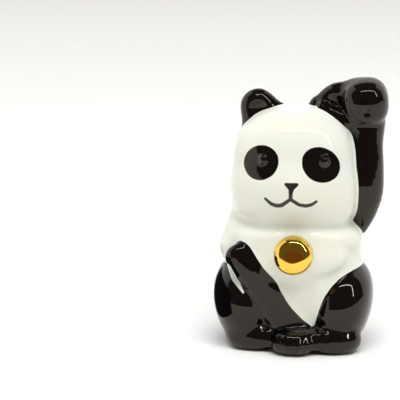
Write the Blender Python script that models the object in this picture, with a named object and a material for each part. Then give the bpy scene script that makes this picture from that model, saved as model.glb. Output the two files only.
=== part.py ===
"""Panda figurine: a small seated panda of glazed porcelain, one paw raised and a gilt bell at its throat.

The real ornament is one hollow casting, so the model is one closed solid. Its forms are modelled one by
one, as eggs, tapered limbs and toes, fused as wet clay is, dished at the ears and cut flat below.

The panda sits on Z = 0 and faces -Y, with the raised paw on +X, and the middle of its width and depth is
over the origin. Places and radii are in hundredths of the figurine's height, counted from under the middle
of its head, so the animal keeps its proportions at any height.
"""

from math import radians

import bmesh
import bpy
from mathutils import Matrix, Vector

# Driving dimensions, in metres
FIGURE_HEIGHT = 0.080
BELL_DIAMETER = 0.0115

# One share is a hundredth of the height
SHARE = FIGURE_HEIGHT / 100

# How the clay is fused, in shares, and how far the finished skin is thinned out
SOFT_GRAIN = 1.2
FINE_GRAIN = 0.9
TARGET_TRIANGLES = 9000

# The white glaze, (234, 236, 225) in a photograph, as the linear values of a shader
GLAZE_COLOUR = (0.823, 0.838, 0.753, 1.0)
GLAZE_ROUGHNESS = 0.08


def clear_scene():
    """Removes whatever the file held."""
    for thing in list(bpy.data.objects):
        bpy.data.objects.remove(thing)


def add_egg(clay, centre, radii, fullness=2.0, turns=(0, 0, 0)):
    """Adds a closed egg: a sphere swelled to |x|^n + |y|^n + |z|^n = 1, stretched, turned and placed.

    A fullness n of 2 is a plain egg and a higher one is squarer. The turns are degrees about X, Y and Z.
    """
    ball = bmesh.ops.create_uvsphere(clay, u_segments=40, v_segments=24, radius=1.0)["verts"]
    turn = Matrix.Identity(3)
    for angle, axis in zip(turns, "XYZ"):
        turn = turn @ Matrix.Rotation(radians(angle), 3, axis)
    for vert in ball:
        swell = sum(abs(part) ** fullness for part in vert.co) ** (-1 / fullness)
        stretched = Vector(part * swell * radius for part, radius in zip(vert.co, radii))
        vert.co = turn @ stretched + Vector(centre)


def add_limb(clay, points, radii, depth=1.0):
    """Adds a tapered limb along its points: the hull of a ball at each end of every stretch.

    A depth below 1 squeezes the balls front to back, for a flat ear.
    """
    for start, end, start_radius, end_radius in zip(points, points[1:], radii, radii[1:]):
        stretch = bmesh.new()
        for centre, radius in ((start, start_radius), (end, end_radius)):
            add_egg(stretch, centre, (radius, radius * depth, radius))
        hull = bmesh.ops.convex_hull(stretch, input=stretch.verts)
        inner = [item for item in hull["geom_interior"] if isinstance(item, bmesh.types.BMVert)]
        bmesh.ops.delete(stretch, geom=inner, context="VERTS")
        bmesh.ops.recalc_face_normals(stretch, faces=stretch.faces)
        mesh = bpy.data.meshes.new("limb_stretch")
        stretch.to_mesh(mesh)
        stretch.free()
        clay.from_mesh(mesh)
        bpy.data.meshes.remove(mesh)


def add_toes(clay, count, bones, radii, step, lead, curl):
    """Adds a row of toes side by side, each a short limb from its heel over its knuckle down to its tip.

    Each stands a step further along, and further back by the square of its distance to the leading one.
    """
    for number in range(count):
        back = curl * (number - lead) ** 2
        toe = [(x + step * number, y + back, z) for x, y, z in bones]
        add_limb(clay, toe, radii)


def new_object(name, clay):
    """Turns clay into an object of that name."""
    mesh = bpy.data.meshes.new(name)
    clay.to_mesh(mesh)
    clay.free()
    thing = bpy.data.objects.new(name, mesh)
    bpy.context.collection.objects.link(thing)
    return thing


def new_cutter(name, clay):
    """Turns clay into a hidden cutting shape."""
    cutter = new_object(name, clay)
    cutter.hide_render = True
    cutter.display_type = "WIRE"
    return cutter


def add_skin(thing, grain):
    """Fuses overlapping closed forms into one skin, as fine as the grain."""
    skin = thing.modifiers.new("skin", "REMESH")
    skin.mode = "VOXEL"
    skin.voxel_size = grain
    skin.use_smooth_shade = True


def add_cut(thing, cutter):
    """Takes a cutting shape away."""
    cut = thing.modifiers.new(cutter.name, "BOOLEAN")
    cut.operation = "DIFFERENCE"
    cut.solver = "EXACT"
    cut.object = cutter


def add_evening(thing, passes):
    """Wipes the skin smooth, a little at each pass."""
    even = thing.modifiers.new("even", "SMOOTH")
    even.factor = 0.5
    even.iterations = passes


def finished_mesh(thing):
    """The mesh that an object's modifiers make."""
    bpy.context.view_layer.update()
    return bpy.data.meshes.new_from_object(thing.evaluated_get(bpy.context.evaluated_depsgraph_get()))


def add_soft_lump(clay, name, lump, dish, grain, passes):
    """Fuses a lump of forms by itself, dishes it where it is hollow, wipes it smooth and adds it."""
    thing = new_object(name, lump)
    add_skin(thing, grain)
    if dish:
        cutter = new_cutter(name + "_dish", dish)
        add_cut(thing, cutter)
    add_evening(thing, passes)
    mesh = finished_mesh(thing)
    clay.from_mesh(mesh)
    bpy.data.meshes.remove(mesh)
    bpy.data.objects.remove(thing)
    if dish:
        bpy.data.objects.remove(cutter)


def add_head(clay):
    """The head: a domed skull on broad cheeks, with a low muzzle."""
    head = bmesh.new()
    add_egg(head, (0.0, 0.8, 68.3), (23.1, 19.6, 21.7), 2.38)
    add_egg(head, (0.0, -0.3, 57.6), (23.7, 19.1, 14.5), 2.6)
    add_egg(head, (-0.3, -10.4, 61.0), (12.6, 11.6, 11.2))
    add_soft_lump(clay, "head", head, None, SOFT_GRAIN, 10)


def add_torso(clay):
    """The pear-shaped trunk with its collar, the shoulder over the lowered arm and the swelling chest."""
    torso = bmesh.new()
    add_egg(torso, (0.0, 1.6, 27.5), (25.0, 18.4, 28.2), 2.3)
    add_egg(torso, (0.0, -0.6, 42.0), (24.3, 18.1, 7.0), 2.5)
    add_limb(torso, ((-20.5, -2.6, 37.0), (-19.4, -1.2, 46.4), (-18.9, -1.0, 51.0)), (7.9, 5.7, 4.9))
    add_egg(torso, (1.0, -10.6, 36.6), (18.6, 9.6, 12.1))
    add_soft_lump(clay, "torso", torso, None, SOFT_GRAIN, 6)


def add_ear(clay, name, spine, radii, hollow, lean):
    """A low rounded ear, flat front to back and dished in front, which leans in along the skull."""
    ear = bmesh.new()
    add_limb(ear, spine, radii, 0.66)
    dish = bmesh.new()
    add_egg(dish, hollow, (5.6, 3.0, 5.2), 2.0, (0, lean, 0))
    add_soft_lump(clay, name, ear, dish, FINE_GRAIN, 3)


def add_ears(clay):
    """The two ears. The one beside the raised paw stands a little higher and runs into it."""
    add_ear(clay, "left_ear", ((-15.3, 1.0, 80.0), (-14.3, 0.5, 88.6), (-8.0, 1.0, 87.1)), (5.4, 6.1, 3.9),
            (-13.6, -5.0, 87.4), 25)
    add_ear(clay, "right_ear", ((16.5, 1.0, 80.0), (19.5, 0.3, 91.9), (14.4, 0.5, 90.9), (8.0, 1.0, 89.1)),
            (5.6, 6.2, 6.2, 4.0), (12.4, -5.0, 90.0), -25)


def add_raised_arm(clay):
    """The raised arm, fused to the side of the head, a fold from the ear under its paw, and the paw."""
    spine = ((24.8, -1.0, 44.4), (24.8, -1.6, 48.5), (25.2, -2.3, 53.0), (25.8, -2.9, 59.0),
             (25.6, -2.8, 67.0), (25.3, -2.1, 76.0), (25.4, -0.8, 84.0))
    add_limb(clay, spine, (1.9, 3.8, 5.2, 6.2, 6.4, 6.2, 6.8))
    fold = ((9.3, -3.0, 89.6), (13.9, -4.6, 87.4), (18.0, -5.4, 85.0), (21.2, -5.3, 82.8),
            (24.2, -4.6, 81.0))
    add_limb(clay, fold, (1.5, 2.0, 2.2, 2.1, 1.9))
    add_egg(clay, (24.8, -2.6, 91.4), (8.4, 8.7, 8.6), 2.45, (15, -6, 0))


def add_lowered_arm(clay):
    """The other arm, flat front to back, which crosses the belly to rest its paw between the feet."""
    spine = ((-19.6, -15.5, 35.4), (-17.4, -15.4, 32.6), (-13.9, -15.1, 28.7), (-7.4, -13.8, 19.4),
             (-0.8, -12.2, 9.0))
    add_limb(clay, spine, (4.9, 5.5, 5.8, 6.0, 6.6), 0.66)
    add_egg(clay, (0.6, -15.0, 4.3), (8.3, 7.3, 5.9), 2.1)
    toe = ((-3.8, -13.5, 5.7), (-3.9, -19.2, 5.8), (-4.0, -20.3, 4.3))
    add_toes(clay, 4, toe, (2.9, 2.9, 2.9), 3.1, 1.5, 0.85)


def add_leg(clay, side, middle, half_width, lean, foot_middle, foot_front):
    """A haunch, leaning outward, over a broad foot with four toes, on the side of -1 or 1."""
    add_egg(clay, (side * middle, 0.2, 15.6), (half_width, 18.4, 17.5), 2.15, (9, side * lean, 0))
    add_egg(clay, (side * foot_middle, foot_front + 8.2, 4.8), (10.0, 7.9, 6.4), 2.1, (0, 0, side * 9))
    toe = ((side * 8.8, -9.5, 6.0), (side * 8.7, foot_front + 3.5, 6.2), (side * 8.6, foot_front + 2.9, 4.5))
    add_toes(clay, 4, toe, (3.0, 3.1, 3.0), side * 3.9, 0, 0.3)


def add_seat(clay):
    """The flat seat that fills the casting between the legs, and the stub of a tail behind."""
    add_egg(clay, (0.0, 1.2, 5.0), (20.2, 15.6, 9.0), 2.4)
    add_egg(clay, (0.0, 16.6, 12.0), (5.6, 5.0, 5.2))


def bell_place():
    """Centre and radius of the bell in shares: it is sunk a tenth of its radius into the chest."""
    radius = BELL_DIAMETER / 2 / SHARE
    chest_front = -20.0
    return (0.7, chest_front + 0.1 * radius, 37.9), radius


def ground():
    """A block below Z = 0, which cuts the foot flat."""
    clay = bmesh.new()
    block = bmesh.ops.create_cube(clay, size=1.0)["verts"]
    bmesh.ops.scale(clay, vec=(FIGURE_HEIGHT, FIGURE_HEIGHT, FIGURE_HEIGHT / 4), verts=block)
    bmesh.ops.translate(clay, vec=(0, 0, -FIGURE_HEIGHT / 8), verts=block)
    return new_cutter("ground", clay)


def porcelain():
    """White glazed porcelain."""
    material = bpy.data.materials.new("white_glaze")
    material.use_nodes = True
    shader = material.node_tree.nodes["Principled BSDF"]
    shader.inputs["Base Color"].default_value = GLAZE_COLOUR
    shader.inputs["Roughness"].default_value = GLAZE_ROUGHNESS
    shader.inputs["Metallic"].default_value = 0.0
    return material


def centre_over_origin(clay):
    """Moves the forms so that the middle of their width and depth is over the origin."""
    middle = Vector()
    for axis in range(2):
        places = [vert.co[axis] for vert in clay.verts]
        middle[axis] = (min(places) + max(places)) / 2
    bmesh.ops.translate(clay, vec=-middle, verts=clay.verts)


def thin_out(panda):
    """Thins the finished skin to about the wanted number of triangles, keeping its shape."""
    mesh = finished_mesh(panda)
    triangles = sum(len(face.vertices) - 2 for face in mesh.polygons)
    bpy.data.meshes.remove(mesh)
    thin = panda.modifiers.new("thin", "DECIMATE")
    thin.ratio = min(1.0, TARGET_TRIANGLES / triangles)


def build_panda():
    """Joins the forms, fuses them into one skin, thins it out and cuts it flat below."""
    clay = bmesh.new()
    add_head(clay)
    add_torso(clay)
    add_ears(clay)
    add_raised_arm(clay)
    add_lowered_arm(clay)
    add_leg(clay, -1, 17.9, 12.2, 13, 14.9, -17.6)
    add_leg(clay, 1, 16.9, 11.8, 14, 15.4, -19.4)
    add_seat(clay)
    bell_centre, bell_radius = bell_place()
    add_egg(clay, bell_centre, (bell_radius, bell_radius, bell_radius))
    centre_over_origin(clay)
    bmesh.ops.scale(clay, vec=(SHARE, SHARE, SHARE), verts=clay.verts)
    panda = new_object("panda_figurine", clay)
    panda.data.materials.append(porcelain())
    add_skin(panda, FINE_GRAIN * SHARE)
    add_evening(panda, 4)
    thin_out(panda)
    add_cut(panda, ground())


clear_scene()
build_panda()
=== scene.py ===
from math import cos, radians, sin

import bpy
import numpy as np
from mathutils import Matrix, Vector


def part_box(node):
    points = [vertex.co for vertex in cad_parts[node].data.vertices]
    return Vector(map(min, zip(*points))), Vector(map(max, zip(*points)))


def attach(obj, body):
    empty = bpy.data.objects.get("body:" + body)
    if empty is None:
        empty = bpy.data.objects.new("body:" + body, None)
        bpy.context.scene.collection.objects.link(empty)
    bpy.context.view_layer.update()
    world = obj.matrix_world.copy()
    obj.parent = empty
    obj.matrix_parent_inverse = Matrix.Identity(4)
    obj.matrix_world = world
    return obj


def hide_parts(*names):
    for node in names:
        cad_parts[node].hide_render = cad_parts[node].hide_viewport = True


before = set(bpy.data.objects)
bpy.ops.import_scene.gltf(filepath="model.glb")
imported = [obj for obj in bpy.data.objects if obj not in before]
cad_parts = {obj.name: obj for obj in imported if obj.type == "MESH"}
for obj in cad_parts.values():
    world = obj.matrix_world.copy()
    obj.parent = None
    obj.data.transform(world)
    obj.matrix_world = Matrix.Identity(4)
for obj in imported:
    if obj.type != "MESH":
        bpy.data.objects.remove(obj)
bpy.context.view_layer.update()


# The head.
# The whole animal is one hollow casting of porcelain, slip-cast in a plaster mould, so its forms run into
# each other as wet clay does. Each form is worked out as a reach: how far a place is outside it, and below
# zero inside. Places are in shares, hundredths of the height, counted from under the middle of the head.

def turned(place, turns):
    """The place as a form sees it that is turned by those degrees about X, Y and Z: the turn undone."""
    turn = Matrix.Identity(3)
    for angle, axis in zip(turns, "XYZ"):
        turn = turn @ Matrix.Rotation(radians(angle), 3, axis)
    return np.array(turn.transposed(), "f") @ place


# Added so that nothing is divided by zero in the middle of a form.
TINY = 1e-4


def egg(place, centre, radii, fullness=2.0, turns=(0, 0, 0)):
    """Reach to an egg |x/a|^n + |y/b|^n + |z/c|^n = 1: with k the n-th root of that sum, k - 1 over the
    steepness of k."""
    radii = np.array(radii, "f")[:, None]
    local = np.abs(turned(place - np.array(centre, "f")[:, None], turns)) / radii + TINY
    power = local ** (fullness - 1)
    k = (power * local).sum(0) ** (1 / fullness)
    steepness = np.sqrt(((power / radii) ** 2).sum(0)) * k ** (1 - fullness)
    return (k - 1) / steepness


def fused(first, second, softness):
    """Two reaches joined as wet clay: the lesser of them, and less by up to a quarter of the softness where
    they are within the softness of each other."""
    if softness == 0:
        return np.minimum(first, second)
    blend = np.clip(0.5 + 0.5 * (second - first) / softness, 0, 1)
    return second + (first - second) * blend - softness * blend * (1 - blend)


def dished(reach, tool, softness):
    """A form hollowed by a round tool: the greater of its reach and of the tool's with the sign turned."""
    return -fused(-reach, tool, softness)


SKULL = ((0, 0.8, 68.3), (23, 19.5, 21.3), 2.38)
CHEEKS = ((0, -0.3, 57.6), (23.4, 18.8, 14.2), 2.6)
MUZZLE = ((-0.3, -10.6, 61), (12, 11.4, 10.6))
EYE_BEADS = (((-10.4, -16.5, 72), (2.1, 2, 2.1)), ((10.8, -16.5, 72), (2.1, 2, 2.1)))
HEAD_SOFTNESS = 5
BEAD_SOFTNESS = 0.7


def head(place):
    """A domed skull on broad cheeks, with a low muzzle and a small bead in the middle of each eye."""
    reach = fused(egg(place, *SKULL), egg(place, *CHEEKS), HEAD_SOFTNESS)
    reach = fused(reach, egg(place, *MUZZLE), HEAD_SOFTNESS)
    for bead in EYE_BEADS:
        reach = fused(reach, egg(place, *bead), BEAD_SOFTNESS)
    return reach


# The ears.
# Two low rounded ears stand on the skull and lean in along it, dished in front by the mould. The one beside
# the raised paw is a little higher, and runs on into it.

def limb(place, points, radii, depth=1.0, softness=0.0):
    """Reach to a tapered limb: the distance to each stretch between two of its points, less the radius
    there, and the least of these. A depth below 1 squeezes the limb front to back."""
    squeeze = np.array([1, depth, 1], "f")[:, None]
    place = place / squeeze
    points = np.array(points, "f")[:, :, None] / squeeze
    reach = None
    for start, end, first, last in zip(points, points[1:], radii, radii[1:]):
        along = end - start
        part = np.clip(((place - start) * along).sum(0) / (along * along).sum(), 0, 1)
        gap = np.sqrt(((place - start - part * along) ** 2).sum(0)) - first - (last - first) * part
        reach = gap if reach is None else fused(reach, gap, softness)
    return reach * depth


LEFT_FLAP = (((-15.2, 1, 80), (-14.2, 0.5, 88.5), (-8, 1, 87)), (5.2, 5.9, 3.7))
LEFT_DISH = ((-13.6, -5, 87.4), (5.4, 2.9, 5), 2, (0, 25, 0))
RIGHT_FLAP = (((16.5, 1, 80), (19.5, 0.3, 91.9), (14.4, 0.5, 90.9), (8, 1, 89.1)), (5.4, 6, 6, 3.8))
RIGHT_DISH = ((12.4, -5, 90), (5.6, 3, 5.2), 2, (0, -25, 0))
FLAP_DEPTH = 0.66
FLAP_SOFTNESS = 3
DISH_SOFTNESS = 1


def ear(place, flap, dish):
    """A flat bent limb, dished by an egg that leans with it."""
    return dished(limb(place, *flap, FLAP_DEPTH, FLAP_SOFTNESS), egg(place, *dish), DISH_SOFTNESS)


# The trunk.
# A pear-shaped trunk with a rolled collar under the head, a shoulder over the lowered arm, a chest that
# swells behind the bell, a flat seat that fills the casting between the legs, and the stub of a tail.

BELLY = ((0, 1.6, 27.5), (24.8, 18.2, 28), 2.3)
COLLAR = ((0, -0.6, 42), (23.9, 17.8, 6.7), 2.5)
COLLAR_SOFTNESS = 4.5
SHOULDER = (((-20.5, -2.6, 37), (-19.4, -1.2, 46.4), (-18.9, -1, 51)), (7.5, 5.4, 4.6))
SHOULDER_SOFTNESS = 4
CHEST = ((1, -10.6, 36.6), (18.5, 9.3, 12))
CHEST_SOFTNESS = 1.2
TAIL = ((0, 16.6, 12), (5.5, 4.9, 5.1))
SEAT = ((0, 1.2, 5), (20, 15.4, 9), 2.4)
SEAT_SOFTNESS = 1.6


def trunk(place):
    """Eggs and a short limb fused one to the next, with a crease below the chest and around the tail."""
    reach = fused(egg(place, *BELLY), egg(place, *COLLAR), COLLAR_SOFTNESS)
    reach = fused(reach, limb(place, *SHOULDER), SHOULDER_SOFTNESS)
    reach = fused(reach, egg(place, *CHEST), CHEST_SOFTNESS)
    reach = fused(reach, egg(place, *TAIL), SEAT_SOFTNESS)
    return fused(reach, egg(place, *SEAT), SEAT_SOFTNESS)


# The raised arm.
# It is one with the side of the trunk and of the head all the way up. The paw on its end curls forward, a
# fold runs from the ear under it, and a small dimple is pressed in its palm.

def curved(knots, steps):
    """Points and radii on a smooth curve through the knots (x, y, z, radius): in each stretch the cubic that
    has the knots at its ends and leaves each one along the line between its neighbours."""
    knots = np.array(knots, "f")
    knots = np.concatenate([2 * knots[:1] - knots[1:2], knots, 2 * knots[-1:] - knots[-2:-1]])
    part = (np.arange(steps) / steps)[:, None, None]
    a, b, c, d = knots[:-3], knots[1:-2], knots[2:-1], knots[3:]
    curve = (b + part * (c - a) / 2 + part**2 * (a - 2.5 * b + 2 * c - d / 2)
             + part**3 * (1.5 * (b - c) + (d - a) / 2))
    curve = np.concatenate([curve.transpose(1, 0, 2).reshape(-1, 4), knots[-2:-1]])
    return curve[:, :3], curve[:, 3]


CURVE_STEPS = 3
RAISED_KNOTS = (
    (24.8, -1, 44.4, 1.5), (24.8, -1.6, 48.5, 3.6), (25.2, -2.3, 53, 5.1), (25.8, -2.9, 59, 6.1),
    (25.6, -2.8, 67, 6.3), (25.3, -2.1, 76, 6.1), (25.4, -0.8, 84, 6.7),
)
FOLD_KNOTS = (
    (9.3, -3, 89.6, 1.4), (13.9, -4.6, 87.4, 1.9), (18, -5.4, 85, 2.1), (21.2, -5.3, 82.8, 2),
    (24.2, -4.6, 81, 1.8),
)
FOLD_SOFTNESS = 1.5
RAISED_PAW = ((24.8, -2.6, 91.4), (8.3, 8.6, 8.6), 2.45, (15, -6, 0))
RAISED_PAW_SOFTNESS = 1.2
DIMPLE = ((25.8, -11.3, 88.2), (1.9, 1.5, 1.9))
DIMPLE_SOFTNESS = 0.6


def raised_arm(place):
    """A curved limb that tapers to nothing at the shoulder, a fold that runs from the ear under the paw, and
    a full egg for the paw with a dimple in its palm."""
    arm = limb(place, *curved(RAISED_KNOTS, CURVE_STEPS))
    fold = limb(place, *curved(FOLD_KNOTS, CURVE_STEPS))
    paw = dished(egg(place, *RAISED_PAW), egg(place, *DIMPLE), DIMPLE_SOFTNESS)
    return fused(fused(arm, fold, FOLD_SOFTNESS), paw, RAISED_PAW_SOFTNESS)


# The lowered arm.
# It crosses the belly from the shoulder down to the ground between the feet, where its paw rests. It is cast
# in one with the belly, and its four toes are shallow rolls along the front of the paw.

TOE_COUNT = 4
TOE_SOFTNESS = 0.5
TOE_ROOT_SOFTNESS = 1


def toes(place, first, step, lead, curl):
    """Reach to a row of toes side by side, each a short limb from its heel over its knuckle down to its tip.
    Each stands a step further along, and further back by the square of its distance to the leading one."""
    row = None
    for number in range(TOE_COUNT):
        back = curl * (number - lead) ** 2
        bones = [(x + step * number, y + back, z) for x, y, z, _ in first]
        toe = limb(place, bones, [radius for _, _, _, radius in first])
        row = toe if row is None else fused(row, toe, TOE_SOFTNESS)
    return row


LOWERED_KNOTS = (
    (-19.6, -15.5, 35.4, 4.8), (-17.4, -15.4, 32.6, 5.4), (-13.9, -15.1, 28.7, 5.7),
    (-7.4, -13.8, 19.4, 5.9), (-0.8, -12.2, 9, 6.5),
)
LOWERED_DEPTH = 0.66
LOWERED_PAW = ((0.6, -15, 4.3), (8.2, 7.2, 5.8), 2.1)
LOWERED_PAW_SOFTNESS = 2
FINGER = ((-3.8, -13.5, 5.7, 2.8), (-3.9, -19.2, 5.8, 2.8), (-4, -20.3, 4.3, 2.8))
FINGER_STEP = 3.1
FINGER_LEAD = 1.5
FINGER_CURL = 0.85


def lowered_arm(place):
    """A long limb, flat front to back, on a paw of four toes of which the middle ones lead."""
    arm = limb(place, *curved(LOWERED_KNOTS, CURVE_STEPS), LOWERED_DEPTH)
    row = toes(place, FINGER, FINGER_STEP, FINGER_LEAD, FINGER_CURL)
    paw = fused(egg(place, *LOWERED_PAW), row, TOE_ROOT_SOFTNESS)
    return fused(arm, paw, LOWERED_PAW_SOFTNESS)


# The legs.
# Each is a round haunch that leans outward over a broad foot with four toes. The foot under the raised paw
# stands a little further forward.

LEFT_LEG = (-1, 17.9, 12, 13, 14.9, -17.6)
RIGHT_LEG = (1, 16.9, 11.6, 14, 15.4, -19.4)
HAUNCH_DEPTH = 18.2
HAUNCH_HEIGHT = 17.4
HAUNCH_FULLNESS = 2.15
HAUNCH_TILT = 9
FOOT_SIZE = (9.9, 7.7, 6.3)
FOOT_FULLNESS = 2.1
FOOT_TURN = 9
FOOT_SOFTNESS = 1.6
TOE_STEP = 3.9
TOE_CURL = 0.3


def leg(place, side, middle, half_width, lean, foot_middle, foot_front):
    """A leaning egg for the haunch, a low egg for the foot, turned out, and a row of toes of which the inner
    one leads. The side is -1 or 1."""
    haunch_size = (half_width, HAUNCH_DEPTH, HAUNCH_HEIGHT)
    haunch_turns = (HAUNCH_TILT, side * lean, 0)
    haunch = egg(place, (side * middle, 0.2, 15.6), haunch_size, HAUNCH_FULLNESS, haunch_turns)
    foot_centre = (side * foot_middle, foot_front + 8.2, 4.8)
    foot = egg(place, foot_centre, FOOT_SIZE, FOOT_FULLNESS, (0, 0, side * FOOT_TURN))
    reach = fused(haunch, foot, FOOT_SOFTNESS)
    toe = ((side * 8.8, -9.5, 6, 2.9), (side * 8.7, foot_front + 3.5, 6.2, 3),
           (side * 8.6, foot_front + 2.9, 4.5, 2.9))
    return fused(reach, toes(place, toe, side * TOE_STEP, 0, TOE_CURL), TOE_ROOT_SOFTNESS)


# The casting.
# One skin over all the forms, with the seams of the mould wiped away and the foot sponged flat.
# It stands for the solid of the frame, and is fitted to that solid's box.

WHITE_FORMS = (head, trunk)
NECK_SOFTNESS = 3.2
# Each black form comes with how softly it runs into the rest.
BLACK_FORMS = (
    (lambda place: ear(place, LEFT_FLAP, LEFT_DISH), 1),
    (lambda place: ear(place, RIGHT_FLAP, RIGHT_DISH), 1),
    (raised_arm, 2.4),
    (lowered_arm, 3.6),
    (lambda place: leg(place, *LEFT_LEG), 1.2),
    (lambda place: leg(place, *RIGHT_LEG), 1.2),
)
BASE_EDGE = 1.5
# The reach is sampled on a grid of blocks that runs just past the forms on every side.
GRAIN = 0.525
BLOCK = 4
NEAR_BLOCKS = 1.6
PROBE = 0.12
EVENING_PASSES = 3
GRID_LOW = (-32.55, -28.35, -2.1)
GRID_BLOCKS = (32, 25, 50)
BELL_FRONT = -26.0


def casting(place):
    """Reach to the whole: head fused to trunk, then ears, arms and legs each with its softness, and the lot
    kept above the ground with a rounded edge."""
    reach = fused(head(place), trunk(place), NECK_SOFTNESS)
    for form, softness in BLACK_FORMS:
        reach = fused(reach, form(place), softness)
    return dished(reach, place[2], BASE_EDGE)


def samples(reach, low, blocks):
    """The reach on a grid of block after block of samples. A block whose middle is far from the surface
    takes the reach there for all its samples, and only the others are worked out sample by sample."""
    step = GRAIN * BLOCK
    marks = [start + step * (np.arange(count) + 0.5) for start, count in zip(low, blocks)]
    middles = np.stack(np.meshgrid(*marks, indexing="ij")).reshape(3, -1).astype("f")
    coarse = reach(middles).reshape(blocks)
    fine = coarse
    near = np.abs(coarse) < NEAR_BLOCKS * step
    for axis in range(3):
        fine = fine.repeat(BLOCK, axis)
        near = near.repeat(BLOCK, axis)
    place = np.argwhere(near).T.astype("f") * GRAIN + GRAIN / 2 + np.array(low, "f")[:, None]
    fine[near] = reach(place)
    return fine


def skin(values, low):
    """The closed skin where the values change sign: one corner in each cell of eight samples that has both
    signs, on the plane that fits them, and one quad across each grid line whose two ends differ."""
    inside = values < 0
    ends = [slice(None, -1), slice(1, None)]
    eight = [inside[a, b, c] for a in ends for b in ends for c in ends]
    mixed = np.logical_or.reduce(eight) & ~np.logical_and.reduce(eight)
    cells = np.argwhere(mixed)
    numbers = np.full(mixed.shape, -1)
    numbers[mixed] = np.arange(len(cells))
    steps = np.array([(a, b, c) for a in (0, 1) for b in (0, 1) for c in (0, 1)])
    corners = values[tuple((cells[:, None] + steps).transpose(2, 0, 1))]
    slope = corners @ (steps * 2 - 1) / 4
    foot = -corners.mean(1)[:, None] * slope / (slope**2).sum(1)[:, None]
    points = (cells + 1 + np.clip(foot, -0.5, 0.5)) * GRAIN + np.array(low)
    quads = []
    for axis in range(3):
        across = np.eye(3, dtype=int)[[(axis + 1) % 3, (axis + 2) % 3]]
        near_end = [slice(1, -1)] * 3
        far_end = [slice(1, -1)] * 3
        near_end[axis], far_end[axis] = ends
        start, stop = inside[tuple(near_end)], inside[tuple(far_end)]
        lines = np.argwhere(start != stop) + across.sum(0)
        around = (0 * across[0], across[0], across.sum(0), across[1])
        ring = np.stack([numbers[tuple((lines - back).T)] for back in around], 1)
        leaves = start[start != stop]
        quads.append(np.where(leaves[:, None], ring, ring[:, ::-1]))
    return points.T.astype("f"), np.concatenate(quads)


def probed(reach, points):
    """The reach at each point and how it slopes, from four tries at the corners of a tetrahedron."""
    value = np.zeros(points.shape[1], "f")
    slope = np.zeros_like(points)
    for corner in ((1, 1, 1), (1, -1, -1), (-1, 1, -1), (-1, -1, 1)):
        corner = np.array(corner, "f")[:, None]
        tried = reach(points + PROBE * corner)
        value += tried / 4
        slope += tried * corner / (4 * PROBE)
    return value, slope


def evened(reach, points, quads):
    """Each corner moved halfway to the mean of its neighbours and back onto the surface along the slope."""
    starts = quads.ravel()
    stops = quads[:, [1, 2, 3, 0]].ravel()
    count = np.bincount(np.concatenate([starts, stops]))
    for _ in range(EVENING_PASSES):
        mean = [(np.bincount(starts, row[stops]) + np.bincount(stops, row[starts])) / count
                for row in points]
        points = 0.5 * (points + np.array(mean, "f"))
        value, slope = probed(reach, points)
        points = points - value * slope / (slope**2).sum(0)
    return points


skin_points, skin_quads = skin(samples(casting, GRID_LOW, GRID_BLOCKS), GRID_LOW)
skin_points = evened(casting, skin_points, skin_quads)
skin_slope = probed(casting, skin_points)[1]
skin_outward = skin_slope / np.sqrt((skin_slope**2).sum(0))

solid_low, solid_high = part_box("panda_figurine")
form_low, form_high = skin_points.min(1).tolist(), skin_points.max(1).tolist()
form_low[1] = BELL_FRONT
share = (solid_high[2] - solid_low[2]) / (form_high[2] - form_low[2])
form_origin = Vector((
    (solid_low[0] + solid_high[0]) / 2 - share * (form_low[0] + form_high[0]) / 2,
    (solid_low[1] + solid_high[1]) / 2 - share * (form_low[1] + form_high[1]) / 2,
    solid_low[2] - share * form_low[2],
))


def new_piece(name, points, faces, slot):
    """A smooth mesh piece at the origin, from points in shares, riding on the frame's one body."""
    mesh = bpy.data.meshes.new(name)
    placed = points.T * share + np.array(form_origin)
    mesh.from_pydata(placed.tolist(), [], faces)
    mesh.polygons.foreach_set("use_smooth", np.ones(len(faces), bool))
    piece = bpy.data.objects.new(name, mesh)
    bpy.context.collection.objects.link(piece)
    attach(piece, "root")
    return piece


glazed_skin = new_piece("glazed_skin", skin_points, skin_quads.tolist(), "white_glaze")
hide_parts("panda_figurine")


# The painted face and the black glaze.
# The black is brushed on before the glaze is fired, so its edge wavers a little, and a white gap is left
# between the lowered arm and the haunch. The face is painted with a fine brush: an egg of black round each
# eye, a small triangle for the nose, and one line for the mouth.

FACE_BACK = -6
EYE_PATCHES = (((-11.6, 70.9), (6.75, 5.9), 35), ((9.9, 70.7), (7.1, 5.8), -35))
NOSE = (((-2.3, 64.2), (1.8, 64.2), (-0.25, 62.4), (-2.3, 64.2)), (1, 1, 1.5, 1))
NOSE_TIP = (((-0.25, 63.4), (-0.3, 61.4)), (2.5, 1.5))
LIP = (((-0.3, 62.6), (-0.5, 58.9)), (1.6, 1.3))
LEFT_SMILE = (((-9.7, 58.4), (-7.6, 56.7), (-5.6, 56.05), (-3.6, 56.4), (-0.5, 58.9)),
              (1.1, 1.4, 1.5, 1.4, 1.2))
RIGHT_SMILE = (((8.6, 57.8), (6.9, 56.7), (4.8, 56.3), (2.6, 56.8), (-0.5, 58.9)),
               (1, 1.25, 1.35, 1.3, 1.2))
FACE_LINES = (NOSE, NOSE_TIP, LIP, LEFT_SMILE, RIGHT_SMILE)
WHITE_GAP = (((-23.8, 31.8), (-21.2, 27.4), (-17.6, 22.4)), (3.2, 2.6, 0.6))
FARTHEST_KEPT = 4
CREASE_REACH = 1.6
BARE_SLOPE = -0.9
BARE_HEIGHT = 0.2


def written(mesh, name, values):
    """Keeps one number for each corner of the mesh, for its material to read."""
    mesh.attributes.new(name, "FLOAT", "POINT").data.foreach_set("value", values.astype("f"))


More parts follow.
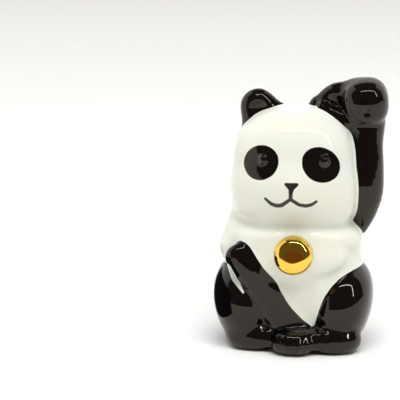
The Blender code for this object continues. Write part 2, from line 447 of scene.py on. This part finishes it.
def eye_patch(across, up, centre, radii, lean):
    """Reach in the plane of the face to an ellipse that leans by those degrees."""
    c, s = cos(radians(lean)), sin(radians(lean))
    along = (c * (across - centre[0]) + s * (up - centre[1])) / radii[0]
    over = (c * (up - centre[1]) - s * (across - centre[0])) / radii[1]
    k = np.sqrt(along**2 + over**2) + TINY
    return (k - 1) * k / np.sqrt((along / radii[0]) ** 2 + (over / radii[1]) ** 2)


def stroke(across, up, points, widths):
    """Reach to a brush stroke: the distance to a line through the points, less half of its width there."""
    reach = np.full(across.shape, np.inf)
    for (x0, z0), (x1, z1), first, last in zip(points, points[1:], widths, widths[1:]):
        dx, dz = x1 - x0, z1 - z0
        part = np.clip(((across - x0) * dx + (up - z0) * dz) / (dx * dx + dz * dz), 0, 1)
        gap = np.hypot(across - x0 - part * dx, up - z0 - part * dz) - (first + (last - first) * part) / 2
        reach = np.minimum(reach, gap)
    return reach


across, up = skin_points[0], skin_points[2]
on_face = skin_points[1] < FACE_BACK
eyes = np.minimum.reduce([eye_patch(across, up, *patch) for patch in EYE_PATCHES])
lines = np.minimum.reduce([stroke(across, up, *line) for line in FACE_LINES])
white_reach = np.minimum.reduce([form(skin_points) for form in WHITE_FORMS])
black_reach = np.minimum.reduce([form(skin_points) for form, _ in BLACK_FORMS])
in_gap = np.maximum(black_reach, white_reach - stroke(across, up, *WHITE_GAP))
black = np.where(on_face, in_gap, black_reach) - white_reach
# How deep each place lies in a crease. This sets both the greener pooled glaze and the painted shade in the
# creases.
lifted = casting(skin_points + CREASE_REACH * skin_outward)
low_down = 1 - np.clip(skin_points[2] / BARE_HEIGHT, 0, 1)
written(glazed_skin.data, "black", np.clip(black, -FARTHEST_KEPT, FARTHEST_KEPT))
for name, reach in (("eyes", eyes), ("lines", lines)):
    reach = np.clip(reach, -FARTHEST_KEPT, FARTHEST_KEPT)
    written(glazed_skin.data, name, np.where(on_face, reach, FARTHEST_KEPT))
written(glazed_skin.data, "crease", np.clip(1 - lifted / CREASE_REACH, 0, 1))
written(glazed_skin.data, "bare", np.where(skin_outward[2] < BARE_SLOPE, low_down, 0))


# The glaze.
# A thick clear glaze over white porcelain, hardly rippled, which pools greener in the creases, where a
# painted shade also darkens it. The black under it is nearly a mirror. The foot is wiped bare before the
# firing and stays matt.

def lay(tree, kind, links=(), **values):
    """A node of that kind with its properties set, and each named or numbered socket filled by a value or by
    another node's socket."""
    node = tree.nodes.new("ShaderNode" + kind)
    for name, value in values.items():
        setattr(node, name, value)
    for socket, source in dict(links).items():
        if isinstance(source, bpy.types.NodeSocket):
            tree.links.new(source, node.inputs[socket])
        else:
            node.inputs[socket].default_value = source
    return node


def stored(tree, name):
    """The number that the mesh keeps under that name."""
    return lay(tree, "Attribute", attribute_name=name).outputs["Fac"]


def ramp(tree, value, start, stop, low=0.0, high=1.0):
    """A smooth step of the value, from low at start to high at stop."""
    return lay(tree, "MapRange", {0: value, 1: start, 2: stop, 3: low, 4: high},
               interpolation_type="SMOOTHSTEP").outputs[0]


def sum_of(tree, first, second, times=1.0):
    """The first value times a number, plus the second."""
    return lay(tree, "Math", {0: first, 1: times, 2: second}, operation="MULTIPLY_ADD").outputs[0]


def mixed_colour(tree, amount, first, second):
    """Two colours mixed."""
    node = lay(tree, "Mix", {"Factor": amount}, data_type="RGBA")
    for number, colour in ((6, first), (7, second)):
        if isinstance(colour, bpy.types.NodeSocket):
            tree.links.new(colour, node.inputs[number])
        else:
            node.inputs[number].default_value = (*colour, 1)
    return node.outputs[2]


def new_material(name):
    """An empty node tree with a shader on its output."""
    material = bpy.data.materials.new(name)
    material.use_nodes = True
    tree = material.node_tree
    tree.nodes.clear()
    shader = lay(tree, "BsdfPrincipled")
    lay(tree, "OutputMaterial", {"Surface": shader.outputs[0]})
    return material, tree, shader


PORCELAIN_WHITE = (0.835, 0.866, 0.790)
PORCELAIN_WARM = (0.842, 0.852, 0.755)
# The crease colour: pooled glaze, greener, and painted shade, darker.
GLAZE_POOL_AND_SHADE = (0.66, 0.71, 0.63)
BLACK_GLAZE = (0.0022, 0.0020, 0.0026)
EYE_BLACK = (0.0030, 0.0026, 0.0024)
LINE_BLACK = (0.022, 0.021, 0.019)
BISCUIT = (0.66, 0.62, 0.54)
PAINTED = (("black", 0.10, BLACK_GLAZE), ("eyes", 0.12, EYE_BLACK), ("lines", 0.14, LINE_BLACK))
EDGE_WAVER = 0.16
GLAZE_ROUGHNESS = 0.045
BISCUIT_ROUGHNESS = 0.85
GLAZE_REFRACTION = 1.5
REFLECTION_TINT = (1.0, 0.90, 0.77)

glaze, tree, shader = new_material("white_glaze")
place = lay(tree, "TexCoord").outputs["Object"]
clouds = lay(tree, "TexNoise", {"Vector": place, "Scale": 70, "Detail": 2}).outputs["Fac"]
waver = lay(tree, "TexNoise", {"Vector": place, "Scale": 420, "Detail": 3}).outputs["Fac"]
waver = sum_of(tree, waver, -EDGE_WAVER, 2 * EDGE_WAVER)
colour = mixed_colour(tree, ramp(tree, clouds, 0.35, 0.7), PORCELAIN_WHITE, PORCELAIN_WARM)
# Painted shade: the creases are darkened, as well as tinted green where the glaze pools.
colour = mixed_colour(tree, ramp(tree, stored(tree, "crease"), 0.12, 0.75), colour, GLAZE_POOL_AND_SHADE)
for name, softness, paint in PAINTED:
    covered = ramp(tree, sum_of(tree, stored(tree, name), waver), softness, -softness)
    colour = mixed_colour(tree, covered, colour, paint)
bare = ramp(tree, stored(tree, "bare"), 0.3, 0.7)
colour = mixed_colour(tree, bare, colour, BISCUIT)
ripple = lay(tree, "TexNoise", {"Vector": place, "Scale": 190, "Detail": 1}).outputs["Fac"]
bump = lay(tree, "Bump", {"Strength": 0.05, "Distance": 0.0004, "Height": ripple})
tree.links.new(colour, shader.inputs["Base Color"])
roughness = ramp(tree, bare, 0, 1, GLAZE_ROUGHNESS, BISCUIT_ROUGHNESS)
tree.links.new(roughness, shader.inputs["Roughness"])
tree.links.new(bump.outputs[0], shader.inputs["Normal"])
shader.inputs["IOR"].default_value = GLAZE_REFRACTION
shader.inputs["Specular Tint"].default_value = (*REFLECTION_TINT, 1)
glazed_skin.data.materials.append(glaze)


# The bell.
# A round bell hangs at the throat, moulded with the chest and gilded with bright lustre in a last low
# firing. Its face is flatter than a ball, and tilts up a little.

BELL_CENTRE = (0.7, -19.2, 37.9)
BELL_RADIUS = 7.2
BELL_DEPTH = 6.8
BELL_FULLNESS = 3.4
BELL_TILT = 6.5


def bell_face(turns, rings):
    """The profile (r/a)^n + (d/b)^n = 1, turned round the axis that points to the front: a grid of turns by
    rings from the pole in front to the pole behind, closed by a fan at each, and the whole tilted up."""
    angle = np.arange(turns) * 2 * np.pi / turns
    slant = np.arange(1, rings) * np.pi / rings
    power_sum = np.abs(np.sin(slant)) ** BELL_FULLNESS + np.abs(np.cos(slant)) ** BELL_FULLNESS
    swell = power_sum ** (-1 / BELL_FULLNESS)
    radius = (BELL_RADIUS * swell * np.sin(slant))[:, None]
    depth = (BELL_DEPTH * swell * np.cos(slant))[:, None]
    grid = np.stack([radius * np.sin(angle), 0 * angle - depth, radius * np.cos(angle)])
    points = np.concatenate([grid.reshape(3, -1), [[0, 0], [-BELL_DEPTH, BELL_DEPTH], [0, 0]]], 1)
    lean = np.array(Matrix.Rotation(radians(-BELL_TILT), 3, "X"))
    points = np.array(BELL_CENTRE)[:, None] + lean @ points
    here = np.arange(turns * (rings - 1)).reshape(rings - 1, turns)
    beside = np.roll(here, -1, 1)
    quads = np.stack([here[:-1], beside[:-1], beside[1:], here[1:]], -1).reshape(-1, 4)
    front, back = np.full(turns, here.size), np.full(turns, here.size + 1)
    fans = np.concatenate([np.stack([front, beside[0], here[0]], 1),
                           np.stack([back, here[-1], beside[-1]], 1)])
    return points, quads.tolist() + fans.tolist()


gilt_bell = new_piece("gilt_bell", *bell_face(turns=96, rings=64), "gilding")

GOLD = (0.90, 0.60, 0.10)
GOLD_THIN = (0.80, 0.42, 0.05)
SMOOTH_GOLD = 0.06
ROUGH_GOLD = 0.13

gilding, tree, shader = new_material("gilding")
place = lay(tree, "TexCoord").outputs["Object"]
brushed = lay(tree, "TexNoise", {"Vector": place, "Scale": 260, "Detail": 3}).outputs["Fac"]
gold = mixed_colour(tree, ramp(tree, brushed, 0.55, 0.8), GOLD, GOLD_THIN)
tree.links.new(gold, shader.inputs["Base Color"])
tree.links.new(ramp(tree, brushed, 0.3, 0.8, SMOOTH_GOLD, ROUGH_GOLD), shader.inputs["Roughness"])
shader.inputs["Metallic"].default_value = 1.0
dent = lay(tree, "TexNoise", {"Vector": place, "Scale": 160, "Detail": 1}).outputs["Fac"]
bump = lay(tree, "Bump", {"Strength": 0.08, "Distance": 0.0004, "Height": dent})
tree.links.new(bump.outputs[0], shader.inputs["Normal"])
gilt_bell.data.materials.append(gilding)


# The table and the light.
# The figurine stands on a white sheet in a white light tent, and a broad soft lamp hangs above its front.
# The tent's opening is dim but for two strips of lamps and a low warm glow. The sheet ends a hand's width in
# front of the figurine, and a small dark flag beside the lowered arm shows in reflections only.

CAMERA_AZIMUTH = 7.5
SHEET_FRONT = 0.20
SHEET_REACH = 2.5
SHEET_WHITE = (0.90, 0.90, 0.90)
FLAG_SIDE = -0.036
FLAG_NEAR = -0.028
FLAG_FAR = 0.020
FLAG_TOP = 0.027
FLAG_BLACK = (0.004, 0.004, 0.004)
CLOTH_ROUGHNESS = 0.9


def new_stage(name, points, colour):
    """A flat piece of matt cloth in the set, which isn't part of the object."""
    mesh = bpy.data.meshes.new(name)
    mesh.from_pydata(points, [], [tuple(range(len(points)))])
    thing = bpy.data.objects.new(name, mesh)
    bpy.context.collection.objects.link(thing)
    material, tree, shader = new_material(name)
    shader.inputs["Base Color"].default_value = (*colour, 1)
    shader.inputs["Roughness"].default_value = CLOTH_ROUGHNESS
    mesh.materials.append(material)
    return thing


sheet_corners = [(-SHEET_REACH, -SHEET_FRONT, 0), (SHEET_REACH, -SHEET_FRONT, 0),
                 (SHEET_REACH, SHEET_REACH, 0), (-SHEET_REACH, SHEET_REACH, 0)]
new_stage("white_sheet", sheet_corners, SHEET_WHITE)
flag_corners = [(FLAG_SIDE, FLAG_NEAR, 0), (FLAG_SIDE, FLAG_FAR, 0),
                (FLAG_SIDE, FLAG_FAR, FLAG_TOP), (FLAG_SIDE, FLAG_NEAR, FLAG_TOP)]
flag = new_stage("dark_flag", flag_corners, FLAG_BLACK)
flag.visible_camera = False
flag.visible_shadow = False
flag.visible_diffuse = False

TENT_WHITE = (1.1, 1.1, 1.1)
SEEN_WHITE = (1.3, 1.3, 1.3)
OPENING = (0.12, 0.095, 0.065)
GLOW = (0.15, 0.055, 0.03)
LAMP = 30.0
# Each border of the opening is a flat plane given by its slope. A strip or patch has the middle, the half
# width and the soft edge of its place to the side, and then of its place in height.
RIGHT_WALL = -0.12
LEFT_WALL = -0.58
LEFT_WALL_LEAN = -0.7
FLANK_SLOPE = -1.7
ROOF_SLOPE = 1.5
OPENING_EDGE = 0.02
NEARLY_SIDEWAYS = 0.01
LAMPS_FROM = 0.02
LAMPS_FULL = 0.04
TOP_STRIP = ((0.2, 0.92, 0.03), (1.85, 0.045, 0.01))
SIDE_STRIP = ((1.1, 0.034, 0.008), (1.2, 0.66, 0.04))
GLOW_PATCH = ((-0.1, 0.26, 0.06), (-0.05, 0.11, 0.04))


def math_of(tree, operation, first, second=0.0):
    """Two values put together by that operation."""
    return lay(tree, "Math", {0: first, 1: second}, operation=operation).outputs[0]


def part_along(tree, direction, axis):
    """How far the direction points along that axis."""
    return lay(tree, "VectorMath", {0: direction, 1: axis}, operation="DOT_PRODUCT").outputs["Value"]


def within(tree, value, middle, half, edge):
    """1 where the value is within that half width of the middle, and 0 past the edge."""
    away = math_of(tree, "ABSOLUTE", math_of(tree, "SUBTRACT", value, middle))
    return ramp(tree, away, half + edge, half)


def oblong(tree, along, above, patch):
    """1 in the patch, which has for each value the middle, the half width and the width of the edge."""
    return math_of(tree, "MULTIPLY", within(tree, along, *patch[0]), within(tree, above, *patch[1]))


world = bpy.data.worlds.new("light_tent")
bpy.context.scene.world = world
world.use_nodes = True
tree = world.node_tree
tree.nodes.clear()
turn = radians(CAMERA_AZIMUTH)
towards = lay(tree, "TexCoord").outputs["Generated"]
height = lay(tree, "SeparateXYZ", {0: towards}).outputs[2]
sideways = part_along(tree, towards, (cos(turn), sin(turn), 0))
forward = part_along(tree, towards, (sin(turn), -cos(turn), 0))
right_wall = math_of(tree, "MULTIPLY", sideways, RIGHT_WALL)
left_wall = sum_of(tree, height, math_of(tree, "MULTIPLY", sideways, LEFT_WALL), LEFT_WALL_LEAN)
in_front = math_of(tree, "SUBTRACT", forward, math_of(tree, "MAXIMUM", right_wall, left_wall))
flanked = sum_of(tree, math_of(tree, "ABSOLUTE", sideways), height, FLANK_SLOPE)
overhead = math_of(tree, "MINIMUM", flanked, sum_of(tree, forward, height, ROOF_SLOPE))
open_there = ramp(tree, math_of(tree, "MAXIMUM", in_front, overhead), -OPENING_EDGE, OPENING_EDGE)
ahead = math_of(tree, "MAXIMUM", forward, NEARLY_SIDEWAYS)
along = math_of(tree, "DIVIDE", sideways, ahead)
above = math_of(tree, "DIVIDE", height, ahead)
top_strip = oblong(tree, along, above, TOP_STRIP)
side_strip = oblong(tree, along, above, SIDE_STRIP)
lit_in_front = ramp(tree, forward, LAMPS_FROM, LAMPS_FULL, 0, LAMP)
lamp = math_of(tree, "MULTIPLY", math_of(tree, "MAXIMUM", top_strip, side_strip), lit_in_front)
glow = oblong(tree, along, above, GLOW_PATCH)
shade = mixed_colour(tree, open_there, TENT_WHITE, mixed_colour(tree, glow, OPENING, GLOW))
lit = lay(tree, "CombineXYZ", {0: lamp, 1: lamp, 2: lamp}).outputs[0]
shade = lay(tree, "VectorMath", {0: shade, 1: lit}, operation="ADD").outputs[0]
seen = lay(tree, "LightPath").outputs["Is Camera Ray"]
shade = mixed_colour(tree, seen, shade, SEEN_WHITE)
background = lay(tree, "Background", {"Color": shade, "Strength": 1.0})
lay(tree, "OutputWorld", {"Surface": background.outputs[0]})

KEY_ELEVATION = 67.0
KEY_DISTANCE = 1.6
KEY_SIZE = 1.2
KEY_POWER = 21.5

key = bpy.data.lights.new("soft_key", "AREA")
key.size = KEY_SIZE
key.energy = KEY_POWER
soft_key = bpy.data.objects.new("soft_key", key)
rise = radians(KEY_ELEVATION)
soft_key.location = Vector((sin(turn) * cos(rise), -cos(turn) * cos(rise), sin(rise))) * KEY_DISTANCE
soft_key.rotation_euler = soft_key.location.to_track_quat("Z", "Y").to_euler()
soft_key.visible_glossy = False
bpy.context.collection.objects.link(soft_key)


# The camera.
# A long lens looks down at the figurine from half a metre away, a little to the side of the raised paw. The
# picture is framed by the pixel where the point under the middle of the head falls.

ELEVATION = 12.0
DISTANCE = 625.0
PIXELS_PER_SHARE = 2.665
PICTURE = 400
ORIGIN_AT = (294.5, 340.7)
SENSOR = 36.0
NEAREST = 0.01
FARTHEST = 20

tilt = radians(ELEVATION)
back = Vector((sin(turn) * cos(tilt), -cos(turn) * cos(tilt), sin(tilt)))
right = Vector((cos(turn), sin(turn), 0))
upward = back.cross(right)
aside = (PICTURE / 2 - ORIGIN_AT[0]) / PIXELS_PER_SHARE
over = (ORIGIN_AT[1] - PICTURE / 2) / PIXELS_PER_SHARE
eye = form_origin + share * (aside * right + over * upward + DISTANCE * back)
lens = bpy.data.cameras.new("camera")
lens.sensor_width = SENSOR
lens.lens = PIXELS_PER_SHARE * DISTANCE / PICTURE * SENSOR
lens.clip_start = NEAREST
lens.clip_end = FARTHEST
camera = bpy.data.objects.new("camera", lens)
camera.matrix_world = Matrix.Translation(eye) @ Matrix((right, upward, back)).transposed().to_4x4()
bpy.context.collection.objects.link(camera)
bpy.context.scene.camera = camera
bpy.context.scene.view_settings.view_transform = "Standard"
